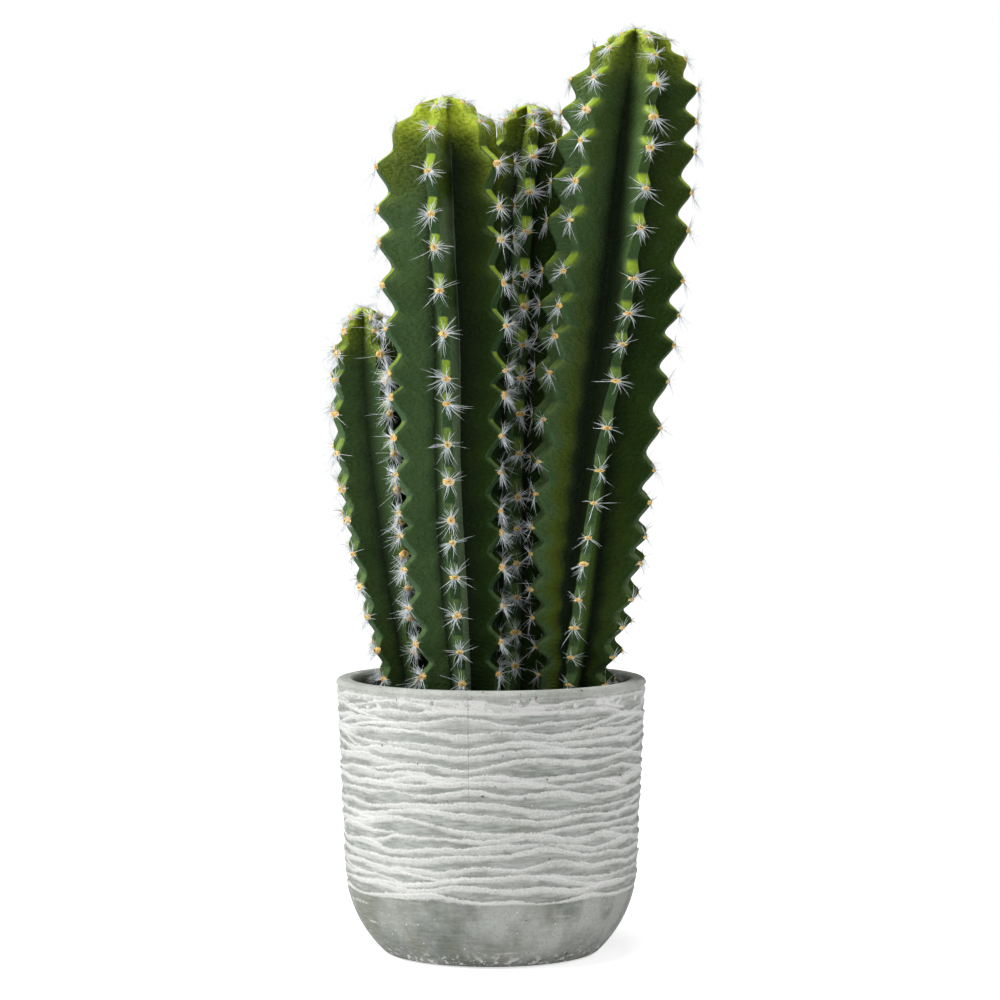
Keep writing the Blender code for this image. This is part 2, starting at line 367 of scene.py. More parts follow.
SKIN_LAYERS = (
    # painted light and painted shade: the lit green over the shady one, as a face turns to the stem's light
    ("lit_green", ("sunny", (0.1, 1.0))),
    # the crown's olive, earlier and stronger on faces turned to the light: partly painted light
    (OLIVE, ("early",), ("sunny", SUN, (0.35, 1.0))),
    # the crown's lime, a little stronger on faces turned to the light: partly painted light
    ("lime", ("tip_near",), ("sunny", SUN, (0.80, 0.95))),
    # yellow, at random and in a band laid only on flanks turned to the light: partly painted light
    (YELLOWED, ("old",)),
    ("pore", ("leather", (0.56, 0.38)), ("crown_near", (0.0, 0.35), (0.12, 0.60))),
    # pale bloom, more of it on faces turned to the light: partly painted light
    (BLOOM, ("leather", (0.52, 0.72)), ("sunny", UNIT, (0.10, 0.30))),
    # painted shade in the valleys, less of it at the crown's tip
    (PAINTED_VALLEY_SHADE, ("valley_near",), ("tip_near", UNIT, (0.95, 0.60))),
    (RIB_DARK, ("on_edge",), ("tip_near", UNIT, (0.45, 0.05))),
    # lime on each tooth's upper slope and beside it: partly the skin's own lime, partly painted light from
    # above
    ("slope_lime", ("upper_slope", (0.05, 0.80), (0.0, 0.95))),
    # pale on the ribs' corners and wear on bare old ones; on flanks turned from the light a painted sheen,
    # and along their creases a painted highlight
    (PALE_WEAR_AND_SHEEN, ("worn", (0.35, 1.1), (0.0, 0.56))),
)
EARLY_POWERS = (3.0, 1.0)  # how late the olive comes towards the crown, in the shade and in the sun: partly painted light
DRIFT_YELLOW = (0.52, 0.72), (0.0, 0.18)
PALE_PATCHY = 1.6
WRINKLES = (("leather", UNIT), ("crown_near", (0.0, 0.5), (1.0, 1.5)), ("tip_near", (0.3, 0.9), (1.0, 0.5)))
LEATHER_BUMP, GRAIN_BUMP, PATCH_BUMP = (1.0, 0.0024), (0.50, 0.0006), (0.15, 0.0015)
SKIN_ROUGHNESS = (0.3, 0.7), (0.46, 0.62)


def skin_material():
    """Velvety skin: lime at the crown and on each tooth's upper slope, partly painted light; painted shade in
    the valleys, and painted light and shade as each face turns to the stem's light.
    """
    n = Nodes("stem_skin")
    here = n.fields(SKIN_NOISES, SKIN_MARKS)
    here |= n.blends(here, SKIN_BLENDS)
    here["early"] = n.math("POWER", here["crown_near"], n.remap(here["sunny"], SUN, EARLY_POWERS))
    here["old"] = n.plus(n.remap(here["drift"], *DRIFT_YELLOW), here["yellowing_and_painted_light"])
    # worn: the corner mark made patchy, which holds the painted sheen and crease highlight as well as pale
    # corners and wear
    here["worn"] = n.plus(here["corner"], n.swing(here["patch"], PALE_PATCHY))
    colour = n.paint(here["shady_green"], here, SKIN_LAYERS)
    fine = n.bump(here["grain"], *GRAIN_BUMP, n.bump(n.level(here, WRINKLES), *LEATHER_BUMP))
    return n.finish(Base_Color=colour, Roughness=n.remap(here["grain"], *SKIN_ROUGHNESS),
                    Normal=n.bump(here["patch"], *PATCH_BUMP, fine), Specular_IOR_Level=0.07)


FELT_RANGE, FELT_BUMP = (0.38, 0.56), (0.6, 0.0006)
FELT_BROWNS = (0.44, 0.23, 0.045), (0.90, 0.65, 0.25)


def felt_material():
    n = Nodes("areole_felt")
    strands = n.noise(1300.0, 3.0)
    return n.finish(Base_Color=n.mix(n.remap(strands, FELT_RANGE), *FELT_BROWNS), Roughness=0.95,
                    Normal=n.bump(strands, *FELT_BUMP), Specular_IOR_Level=0.1)


SPINE_RANGE, SPINE_GREYS = (0.35, 0.65), ((0.60, 0.67, 0.72), (0.86, 0.89, 0.91))
SPINE_FOOT, SPINE_FOOT_SHARES, SPINE_FOOT_BROWN = (0.0, 0.14), (0.7, 0.0), (0.80, 0.66, 0.40)


def spine_material():
    """Silver grey, and brown at the foot."""
    n = Nodes("spine")
    grey = n.mix(n.remap(n.noise(500.0, 2.0), SPINE_RANGE), *SPINE_GREYS)
    foot = n.remap(n.value("along_spine"), SPINE_FOOT, SPINE_FOOT_SHARES)
    return n.finish(Base_Color=n.mix(foot, grey, SPINE_FOOT_BROWN), Roughness=0.45)


TALL, ROUND = (1.0, 1.0, 0.35), (0.14, 0.14, 1.0)
CEMENT_NOISES = {
    "cloud": (34.0, 6.0, 0.65),
    "grit": (800.0, 4.0),
    "crumb": (1250.0, 3.0),
    "stain": (60.0, 5.0),
    "blot": (330.0, 3.0),
    "splash": (75.0, 5.0, 0.7),
    "pit": (260.0, 2.0),
    "fleck": (190.0, 2.0),
    "weather": (45.0, 5.0, 0.55, TALL),
    "streak": (760.0, 4.0, 0.55, ROUND),
    "brushed": (190.0, 3.0, 0.55, ROUND),
}
POT_MARKS = ("wash", "shed", "under_crest", "crest_near", "foot", "rim", "seam", "ridged", "damp")
CEMENT_BLENDS = {
    "foot_grey": ("cloud", (0.38, 0.62), (0.150, 0.166, 0.146), (0.340, 0.354, 0.328)),
    "recess_grey": ("cloud", PATCHES, (0.258, 0.276, 0.254), (0.368, 0.384, 0.360)),
    "rim_grey": ("cloud", PATCHES, (0.360, 0.376, 0.346), (0.500, 0.512, 0.478)),
    "wash_white": ("crumb", (0.36, 0.60), (0.745, 0.748, 0.725), (0.575, 0.580, 0.556)),
}
AGED, MOSSY, WARM_STAIN = (0.420, 0.432, 0.410), (0.185, 0.195, 0.145), (0.175, 0.165, 0.120)
DARK_STAIN, STREAK_PALE = (0.130, 0.136, 0.116), (0.560, 0.575, 0.555)
# the lip is a painted highlight, a bright line just under each crest
CREST_HIGHLIGHT_WHITE, GRAIN_WHITE, SPECK_WHITE = (0.745, 0.750, 0.735), (0.790, 0.795, 0.780), (0.700, 0.700, 0.680)
PIT_DARK, FLECK_BROWN, INNER_DARK = (0.060, 0.058, 0.050), (0.150, 0.085, 0.035), (0.050, 0.043, 0.034)
SEAM_GREY = (0.120, 0.125, 0.110)
CEMENT_LAYERS = (
    (AGED, ("weather", (0.50, 0.62), (0.0, 0.8))),
    (MOSSY, ("weather", (0.47, 0.36), (0.0, 0.6))),
    ("recess_grey", ("ridged",)),
    ("rim_grey", ("rim",)),
    (WARM_STAIN, ("stain", (0.52, 0.72), (0.0, 0.45))),
    (DARK_STAIN, ("grit", (0.45, 0.75), (0.0, 0.35))),
    (STREAK_PALE, ("streak", (0.42, 0.66)), ("ridged", UNIT, (0.16, 0.58))),
    ("wash_white", ("thick", UNIT, (0.0, 0.86))),
    # painted highlight: a bright line just under each crest
    (CREST_HIGHLIGHT_WHITE, ("over",), ("ragged", (1.0, 0.3)), ("close", UNIT, (0.0, 0.8))),
    (GRAIN_WHITE, ("grain", (0.42, 0.24)), ("off_crest", (0.75, 0.15)), ("close", UNIT, (0.0, 0.7))),
    (SPECK_WHITE, ("speck",)),
    (PIT_DARK, ("pit", (0.735, 0.755), (0.0, 0.8))),
    (FLECK_BROWN, ("fleck", (0.685, 0.71)), ("rim", UNIT, (0.0, 0.75))),
    # the inner wall, darker from just below its rim down
    (INNER_DARK, ("damp", UNIT, (0.0, 0.92))),
    (SEAM_GREY, ("seam", (0.72, 0.95), (0.0, 0.32))),
)
SPECKS = (  # dots and blots at the foot, splashes below the rim, and scratches off the ridges
    (("kept",), ("dot", (0.36, 0.20))),
    (("blot", (0.55, 0.60)), ("foot", (0.12, 0.42))),
    (("splash", (0.515, 0.550)), ("rim", (0.02, 0.15)), ("rim", (0.98, 0.80)), ("grit", (0.30, 0.42))),
    (("brushed", (0.655, 0.70)), ("grit", (0.42, 0.52)), ("ridged", (0.6, 0.0), (0.0, 0.55))),
)
RAGGED = 2.6  # how far, in millimetres, crumbs break a crest's line
OVER_CREST, CLOSE_RANGE = (-0.20, 0.10), (0.08, 0.35)
UNEVEN_GRIT, UNEVEN_BRUSHED, UNEVEN_FROM = 0.85, 1.25, (0.0, 0.25)
THICK_RANGE = (0.20, 0.72)
GRAIN_SCALE, DOT_SCALE = 1100.0, 700.0
DOTS_FOOT, DOTS_RIM, DOTS_LEAST = 0.32, 0.010, 0.005  # the share of cells that hold a dot
CRUMB_BUMP_SHARE = 1.3
WASH_BUMP, STREAK_BUMP, CLOUD_BUMP = (0.70, 0.0009), (0.35, 0.0006), (0.15, 0.002)
CEMENT_ROUGHNESS = (0.3, 0.7), (0.74, 0.94)


def add_wash(n, here):
    """Fields for the wash: patchy and cut off at each crest, with a lip and grains along it; the lip is a
    painted highlight just under each crest.
    """
    ragged = n.plus(here["under_crest"], n.swing(here["crumb"], RAGGED))
    over, close = n.remap(ragged, OVER_CREST), n.remap(here["crest_near"], CLOSE_RANGE)
    cut = n.less(1.0, n.times(close, n.less(1.0, over)))
    layers = n.math("ADD", n.times(here["wash"], cut), here["shed"], clamp=True)
    uneven = n.plus(n.swing(here["grit"], UNEVEN_GRIT), n.swing(here["brushed"], UNEVEN_BRUSHED))
    here["thick"] = n.remap(n.plus(layers, n.times(uneven, n.remap(layers, UNEVEN_FROM))), THICK_RANGE)
    here["ragged"], here["over"], here["close"] = ragged, over, close
    here["grain"] = n.cells(GRAIN_SCALE)["Distance"]
    here["off_crest"] = n.math("ABSOLUTE", here["under_crest"])


def add_specks(n, here):
    """Fields for white specks, which a share of the cells hold as dots."""
    cells = n.cells(DOT_SCALE)
    here["dot"] = cells["Distance"]
    chance = n.add("ShaderNodeSeparateColor", None, Color=cells["Color"]).outputs[0]
    wanted = n.plus(n.times(here["foot"], DOTS_FOOT), n.times(here["rim"], DOTS_RIM))
    here["kept"] = n.math("GREATER_THAN", n.plus(wanted, DOTS_LEAST), chance)
    here["speck"], *others = [n.level(here, readings) for readings in SPECKS]
    for other in others:
        here["speck"] = n.math("MAXIMUM", here["speck"], other)


def cement_material():
    """Grey cement: crumbly wash lies on the ridges from the crest down, with a seam, stains and specks."""
    n = Nodes("cement")
    here = n.fields(CEMENT_NOISES, POT_MARKS)
    here |= n.blends(here, CEMENT_BLENDS)
    add_wash(n, here)
    add_specks(n, here)
    fine = n.bump(n.plus(here["thick"], n.times(here["crumb"], CRUMB_BUMP_SHARE)), *WASH_BUMP)
    brush = n.bump(here["streak"], *STREAK_BUMP, fine)
    return n.finish(Base_Color=n.paint(here["foot_grey"], here, CEMENT_LAYERS), Specular_IOR_Level=0.2,
                    Roughness=n.remap(here["grit"], *CEMENT_ROUGHNESS),
                    Normal=n.bump(here["cloud"], *CLOUD_BUMP, brush))


SOIL_RANGE, SOIL_BUMP = (0.35, 0.7), (0.8, 0.001)
SOIL_BROWNS = (0.012, 0.010, 0.008), (0.060, 0.046, 0.034)


def soil_material():
    n = Nodes("dark_soil")
    crumb, grit = n.noise(220.0, 5.0), n.noise(1100.0, 3.0)
    return n.finish(Base_Color=n.mix(n.remap(crumb, SOIL_RANGE), *SOIL_BROWNS), Roughness=0.95,
                    Normal=n.bump(grit, *SOIL_BUMP))


# ---------------------------------------------------------------- stems

FULL_AGE = 220.0  # this far below its crown a stem is at its oldest
TOOTH_ROUND = 0.85  # how much a tooth is a wave, against a saw's tooth
LOWER_POWER, UPPER_POWER = 1.6, 1.5  # of that saw's tooth, from a tip down to its notch and below it


def tooth_depth(part, power):
    """How deep the notch is, 0 at a tip to 1 in the notch."""
    return TOOTH_ROUND * (1.0 - np.cos(math.pi * part)) / 2 + (1.0 - TOOTH_ROUND) * part**power


class Skin:
    """The shape of one stem: any rib, at any height."""

    def __init__(self, name, facts):
        self.name = name
        self.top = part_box(name)[1].z / MM
        self.__dict__.update(facts)
        self.spans = (self.first - CROWN_TIP, *self.gaps)
        self.tips = [self.top - CROWN_TIP - sum(self.spans[:count]) for count in range(len(self.spans) + 1)]

    def share(self, heights):
        return (heights - STEM_FOOT) / (self.top - STEM_FOOT)

    def centre(self, heights):
        return smooth(self.axis, self.share(heights))

    def dome(self, heights, tall):
        below = unit((self.top - heights) / tall)
        return np.sqrt(unit(1.0 - (1.0 - below) ** self.bulge))

    def angle(self, heights, rib):
        return np.radians(smooth(self.turn, self.share(heights))[:, 0] + 360.0 * rib / self.ribs)

    def age(self, heights):
        return unit((self.top - heights) / FULL_AGE)

    def rib_lift(self, heights, rib):
        fade = np.minimum((self.top - heights) / LIFT_FADE_TOP, (heights - STEM_FOOT) / LIFT_FADE_FOOT)
        return self.lift[rib % self.ribs] * unit(fade)

    def tooth(self, heights):
        """(how deep the notch is here, 0 to 1; how far down the slope under it, 0 to 1, else -1)."""
        depth, slope = np.zeros_like(heights), np.full_like(heights, -1.0)
        for tip, span in zip(self.tips, self.spans):
            notch = tip - span * NOTCH_SHARE
            lower = (heights <= tip) & (heights >= notch)
            depth[lower] = tooth_depth((tip - heights[lower]) / (tip - notch), LOWER_POWER)
            upper = (heights < notch) & (heights > tip - span)
            part = 1.0 - (notch - heights[upper]) / (notch - tip + span)
            depth[upper] = tooth_depth(part, UPPER_POWER)
            slope[upper] = 1.0 - part
        return depth, slope

    def radii(self, heights, rib):
        """(radius over the edge, radius in the valley after it, how far down the upper slope)."""
        full = smooth(self.reach, self.share(heights))[:, 0]
        reach = np.maximum(full * self.dome(heights, self.crown), APEX_RADIUS)
        depth, slope = self.tooth(heights - self.rib_lift(heights, rib))
        edge = reach - self.bite * depth * self.dome(heights, self.crown)
        inner = np.minimum(VALLEY_RADIUS, VALLEY_SHARE * reach)
        inner = inner * self.dome(heights, VALLEY_CROWN * self.crown)
        return edge, np.maximum(inner, APEX_RADIUS / 2), slope

    def half_edge(self, edge):
        """Half the width of a rib's flat edge, less where the stem narrows."""
        return np.minimum(EDGE_WIDTH / 2, EDGE_SHARE * edge * math.tan(math.pi / self.ribs))


ROW_STEP = 1.0  # between rows of the fine skin
ROUND_SHARE, ROUND_ROWS = 0.25, 14  # the top of the crown, where the rows are drawn together
ACROSS_EDGE = (-1.0, -0.82, -0.4, 0.0, 0.4, 0.82, 1.0)  # columns over a rib's edge, in half widths
DOWN_FLANK = (0.05, 0.18, 0.36, 0.56, 0.76, 0.90, 0.96, 1.0)  # columns from edge to valley, as shares
EDGE_SWELL = 0.45  # how far a rib's edge stands out in its middle
FLANK_HOLLOW, HOLLOW_FROM = 1.1, 20.0  # how far a flank bows in, and the radius from which it does so fully
BOW_POWER = 0.8  # under 1, the bow lies nearer the edge than the valley
CROWN_PUFF, PUFF_FROM = 2.6, 12.0  # how far the flanks swell out at the crown, and from which radius
CROWN_LUMP, LUMP_SPAN, LUMP_TURN = 0.7, 11.0, 2.4  # a wave's size, its length, a column's shift in radians
LUMP_RISE = 4.0  # of a hump that keeps the lumps off the apex

OLIVE_FADE = 1.3  # the power by which the olive fades down its zone
CROWN_LIME, LIME_POWER = 20.5, 4  # where and how sharply the lime over all of a young crown ends
BESIDE_LEAST, BESIDE_POWER = 0.08, 2.5  # the lime below that, which keeps to the ribs
PATCH_BRIGHT, PATCH_FADE, PATCH_LEAST = 72.0, 130.0, 0.28  # where patches start to fade, over what, to what
PATCH_ROUND, PATCH_WIDE, PATCH_LOOSE, PATCH_LEAF = 0.22, 1.05, 0.5, 0.8  # its outline over a rib's edge
PATCH_SOFT, PATCH_EDGE, PATCH_DULL = 5.2, 0.35, 0.25  # its soft ends and sides, and its loss on the way down
MOSS_SPAN, MOSS_START, MOSS_PLACE, MOSS_WIDE = 110.0, 0.7, 0.48, 0.20  # how far down, and where on a flank
PALE_START, PALE_SPAN, PALE_LOSS = 14.0, 16.0, 0.9  # where worn edges, and flanks under the painted sheen, lose the crown's colours
CORNER_PALE, CORNER_AGED = 0.60, 0.75  # a pale line on a rib's corners on crisp stems, and pale wear there on bare old ones
SINK_AGE, SINK_LEAST, SINK_DEEP = 1.4, 0.04, 1.2  # with age the painted shade spreads over lit flanks and deepens in their valleys: how soon, the least share of its power, how much deeper
SWELL_REACH, SWELL_SUN, SWELL_SHARES = 0.30, (0.5, 0.8), (0.15, 1.0)  # down the flank, and by its light: painted light, stronger on flanks turned to the light
AWAY_FROM, AWAY_RISE = 0.5, 1.5  # from 0 on a lit flank to 1 on one turned away
PLUMP_POWER, PLUMP_LOSS = 6.0, 0.85  # a plump crown keeps its painted shade to the very valley, and little of it
BARE_LOSS, BARE_FROM = 0.45, 0.6  # bare old flanks out of the light lose some of their painted shade


def skin_rows(skin):
    """Heights of the rows, foot to crown, drawn together where the crown rounds over."""
    rounded = skin.crown * ROUND_SHARE
    count = int((skin.top - rounded - STEM_FOOT) / ROW_STEP)
    plain = np.linspace(STEM_FOOT, skin.top - rounded, count)
    round_over = skin.top - rounded * (1.0 - np.linspace(0.0, 1.0, ROUND_ROWS)[1:]) ** 2
    return np.concatenate([plain, round_over])


def patch_over(skin, slope, across):
    """How much of the lime patch is here: crisp at its notch, leaf shaped by the stem's own share. The patch
    lies on a tooth's upper slope, facing up to the light, and is partly the skin's lime and partly painted
    light.
    """
    slope = np.where(slope > 1.0 - PATCH_ROUND * across**2, -1.0, slope)
    loose = 1.0 - skin.crisp
    room = PATCH_WIDE + PATCH_LOOSE * loose - abs(across) - PATCH_LEAF * skin.leaf * (1.0 - slope)
    down = unit(slope)
    soft = np.minimum(1.0, hump(down, PATCH_SOFT))
    patch = unit(room / PATCH_EDGE) * (1.0 - PATCH_DULL * down) * (skin.crisp + loose * soft)
    return np.where(slope >= 0, patch, 0.0)


class Sheet:
    """The columns of one stem's skin, each from foot to crown, with the marks its material reads."""

    def __init__(self, skin):
        self.skin, self.heights = skin, skin_rows(skin)
        below = skin.top - self.heights
        self.columns, self.marks = [], {name: [] for name in SKIN_MARKS}
        self.centre, self.age = skin.centre(self.heights), skin.age(self.heights)
        self.plump = fading(below, skin.crown)
        self.dip = VALLEY_DIP * (1.0 - skin.dome(self.heights, skin.crown))
        self.olive = skin.olive * fading(below, skin.zone) ** OLIVE_FADE
        self.tip_near = fading(below, skin.fresh)
        self.cap = skin.glow * np.exp(-((below / CROWN_LIME) ** LIME_POWER))
        faded = fading(below - PATCH_BRIGHT, PATCH_FADE)
        self.bright = skin.lime * PATCH_LEAST + skin.lime * (1.0 - PATCH_LEAST) * faded
        self.yellow = skin.moss * unit(below / MOSS_SPAN - MOSS_START)
        self.grown = PALE_LOSS * unit((below - PALE_START) / PALE_SPAN)

    def sunny(self, facing):
        """1 turned to the stem's light, to -1 turned away; the skin's painted light and painted shade follow
        it.
        """
        return np.cos(facing - math.radians(self.skin.sun))

    def add(self, flat, facing, drop=0.0, part=0.0, worn=0.0, **marks):
        """A column at these flat places, this far below its rows and this share of the way to a valley."""
        wave = np.sin(FULL_TURN * self.heights / LUMP_SPAN + LUMP_TURN * len(self.columns))
        lump = CROWN_LUMP * np.minimum(self.plump, hump(self.plump, LUMP_RISE)) * wave
        self.columns.append(np.column_stack([flat + direction(facing) * lump[:, None], self.heights - drop]))
        sunny = self.sunny(facing)
        beside = self.tip_near * (BESIDE_LEAST + (1.0 - BESIDE_LEAST) * (1.0 - part) ** BESIDE_POWER)
        marks["sunny"] = sunny
        # worn takes the crown's olive and lime away: on the edges below the crown, and on flanks under the
        # painted sheen
        marks["crown_near"] = self.olive * (1.0 - worn)
        marks["tip_near"] = np.maximum(self.cap, beside) * (1.0 - worn)
        # a yellow band laid only on flanks turned to the light: age's colour and partly painted light
        marks["yellowing_and_painted_light"] = self.yellow * unit(sunny) * bell(part - MOSS_PLACE, MOSS_WIDE)
        for name, value in marks.items():
            self.marks[name].append(0.0 * self.heights + value)

    def corner(self, rib, side):
        """The flat places of a rib's corner: side is 1 towards the next rib and -1 towards the last."""
        angle = self.skin.angle(self.heights, rib)
        edge = self.skin.radii(self.heights, rib)[0]
        half = self.skin.half_edge(edge) * side
        return self.centre + direction(angle) * edge[:, None] + sideways(angle) * half[:, None]

    def add_edge(self, rib):
        """The columns over one rib's edge."""
        skin = self.skin
        angle = skin.angle(self.heights, rib)
        edge, _, slope = skin.radii(self.heights, rib)
        half = skin.half_edge(edge)
        outward, side = direction(angle), sideways(angle)
        full = np.minimum(half / (EDGE_WIDTH / 2), 1.0)
        pale_corner = CORNER_PALE * skin.crisp + CORNER_AGED * skin.bare * self.age
        for across in ACROSS_EDGE:
            crest = edge + EDGE_SWELL * (1.0 - across**2) * full
            flat = self.centre + outward * crest[:, None] + side * (half * across)[:, None]
            self.add(flat, angle, worn=self.grown * skin.crisp, on_edge=skin.strip, valley_near=0.0,
                     upper_slope=patch_over(skin, slope, across) * self.bright,
                     corner=pale_corner if abs(across) == 1.0 else 0.0)

    def flank_marks(self, slope, lit, part, power, sinking):
        """The lime beside a tooth's patch, painted stronger where the flank turns to the light, and the
        painted shade towards the valley.
        """
        skin = self.skin
        swell = unit(slope)
        lime = hump(swell, skin.swell * max(0.0, 1.0 - part / SWELL_REACH))
        lime = lime * np.clip(SWELL_SUN[0] + SWELL_SUN[1] * lit, *SWELL_SHARES)
        # deep: the painted shade towards the valley
        deep = skin.dark * part ** (power + PLUMP_POWER * self.plump) * (1.0 - PLUMP_LOSS * self.plump)
        bared = BARE_LOSS * skin.bare * self.age * unit(BARE_FROM - lit)
        return dict(upper_slope=lime * self.bright,
                    valley_near=np.minimum(1.0, deep * (1.0 + SINK_DEEP * sinking) * (1.0 - bared)))

    def add_flanks(self, rib):
        """The columns from one rib's edge down to the valley, and out again to the next rib's."""
        skin = self.skin
        middle = skin.angle(self.heights, rib) + math.pi / skin.ribs
        edge, inner, slope = skin.radii(self.heights, rib)
        next_slope = skin.radii(self.heights, rib + 1)[2]
        valley = self.centre + direction(middle) * inner[:, None]
        # lit: how this flank turns to the stem's light, which sets its painted shade and its painted light
        lit = self.sunny(middle)
        # away: a flank turned from the light, which takes the painted sheen
        away = unit(AWAY_FROM - AWAY_RISE * lit)
        sinking = skin.sink * np.minimum(1.0, SINK_AGE * self.age) * unit(lit)
        sunk = skin.shade[1] * np.maximum(SINK_LEAST, 1.0 - sinking)
        puff = CROWN_PUFF * self.plump * np.minimum(edge / PUFF_FROM, 1.0)
        hollow = FLANK_HOLLOW * np.minimum(edge / HOLLOW_FROM, 1.0) - puff
        near, far = self.corner(rib, 1), self.corner(rib + 1, -1)
        inward = [(near, part, slope, skin.shade[0], skin.sheen) for part in DOWN_FLANK]
        outward = [(far, part, next_slope, sunk, 0.0) for part in reversed(DOWN_FLANK[:-1])]
        for rim, part, here, power, sheen in inward + outward:
            bow = hollow * math.sin(math.pi * part**BOW_POWER)
            flat = rim + (valley - rim) * part - direction(middle) * bow[:, None]
            # corner carries the painted sheen on flanks turned from the light, and a painted highlight along
            # the valley's crease
            self.add(flat, middle, self.dip * part, part, worn=self.grown * away * sheen, on_edge=0.0,
                     corner=away * (skin.crease if part == 1.0 else sheen),
                     **self.flank_marks(here, lit, part, power, sinking))


def make_skin(skin, material):
    """One closed mesh, rib by rib round the stem."""
    sheet = Sheet(skin)
    for rib in range(skin.ribs):
        sheet.add_edge(rib)
        sheet.add_flanks(rib)
    rows = np.stack(sheet.columns, 1)
    count = rows.shape[1]
    vertices = rows.reshape(-1, 3)
    faces = reverse(grid_faces(len(rows), count))
    faces += [tuple(reversed(range(count))), tuple(range(len(vertices) - count, len(vertices)))]
    marks = {name: np.stack(values, 1).reshape(-1) for name, values in sheet.marks.items()}
    add_piece(skin.name + "_skin", vertices, faces, material, skin.name, marks)


AREOLE_DROP, AREOLE_PROUD = 0.4, 0.3  # from its tip, and out of the edge
AREOLE_FOOT, AREOLE_TOP = 3.0, 3.0  # none lies nearer than this to the soil or the top
CROWN_LEAN, LEAN_SHARE = 1.1, 0.6  # how far the top's areoles lean up, and over what share of the crown
LEANING_SIZE, APEX_SIZE, APEX_DROP = 0.85, 0.8, 0.3  # the apex has an areole of its own


def areoles(skin):
    """(place, outward direction, up the edge, size) of each areole, on the tips of the teeth."""
    found = []
    for rib in range(skin.ribs):
        for tip in skin.tips:
            lift = skin.rib_lift(np.array([tip]), rib)[0]
            height = tip + lift - AREOLE_DROP
            if not STEM_FOOT + AREOLE_FOOT < height < skin.top - AREOLE_TOP:
                continue
            at = np.array([height])
            edge = skin.radii(at, rib)[0][0] + AREOLE_PROUD
            flat = direction(skin.angle(at, rib))[0]
            place = Vector((*(skin.centre(at)[0] + flat * edge), height))
            lean = CROWN_LEAN * max(0.0, 1.0 - (skin.top - height) / (LEAN_SHARE * skin.crown))
            out = Vector((*(flat * math.cos(lean)), math.sin(lean)))
            up = Vector((*(-flat * math.sin(lean)), math.cos(lean)))
            found.append((place, out, up, (LEANING_SIZE if lean else 1.0) * skin.areole))
    apex = Vector((*skin.centre(np.array([skin.top]))[0], skin.top - APEX_DROP))
    found.append((apex, Vector((0.0, 0.0, 1.0)), Vector((0.0, 1.0, 0.0)), APEX_SIZE))
    return found


TUFT_RINGS, TUFT_AROUND, TUFT_TOP = 5, 14, 0.5  # the last ring stops half a ring short of the top
TUFT_HALF_WIDTHS, TUFT_HALF_HEIGHTS, TUFT_LUMPS = (1.9, 2.9), (1.3, 2.2), (0.84, 1.16)
TUFT_PROUD, TUFT_SUNK, TUFT_BARED = 1.5, 0.4, 0.6  # the last is how far bare old age flattens it


def make_felt(skin, spots, material, dice):
    """A small lumpy tuft at each areole."""
    vertices, faces = [], []
    for place, out, up, size in spots:
        side = out.cross(up)
        flattened = 1.0 - TUFT_BARED * skin.bare * skin.age(place.z)
        wide = dice.uniform(*TUFT_HALF_WIDTHS) * size
        tall = dice.uniform(*TUFT_HALF_HEIGHTS) * size * flattened
        first = len(vertices)
        for ring in range(TUFT_RINGS):
            lean = ring / (TUFT_RINGS - TUFT_TOP) * QUARTER_TURN
            for step in range(TUFT_AROUND):
                turn = FULL_TURN * step / TUFT_AROUND
                lump = dice.uniform(*TUFT_LUMPS)
                spread = math.cos(lean) * lump
                across, along = wide * spread * math.cos(turn), tall * spread * math.sin(turn)
                proud = TUFT_PROUD * size * math.sin(lean) * lump - TUFT_SUNK
                vertices.append(tuple(place + side * across + up * along + out * proud))
        faces += [tuple(first + index for index in face) for face in grid_faces(TUFT_RINGS, TUFT_AROUND)]
        last = first + (TUFT_RINGS - 1) * TUFT_AROUND
        faces.append(tuple(reversed(range(first, first + TUFT_AROUND))))
        faces.append(tuple(range(last, last + TUFT_AROUND)))
    add_piece(skin.name + "_areoles", vertices, faces, material)


WOOL, SPINES = 26, (26, 38)  # short curly hairs at each areole; fewest and most long ones
BUNDLES, BUNDLE_WIDE, BUNDLED = 4, 0.30, 0.70  # how many point anywhere, their spread, the share in them
LOW_BUNDLE = -0.8, 0.8  # one more bundle points down, give or take this
SPINE_LENGTHS, WOOL_LENGTHS = (2.8, 11.4, 6.4), (2.0, 5.0)  # shortest, longest and, of spines, usual
SPINE_KIND, WOOL_KIND = (0.52, (0.10, 0.16), 4), (0.80, (0.06, 0.09), 3)  # curl, thickness, joints
SPINE_LIFTS, SPINE_SAGS, SPINE_STARTS = (0.06, 0.62), (-0.14, 0.24), (0.2, 1.1)
SPINE_PROUD, SPINE_TAPER, SPINE_SIDES = 0.45, 0.6, 3
UP_SHORTER = 0.08  # how much shorter a spine is that points up


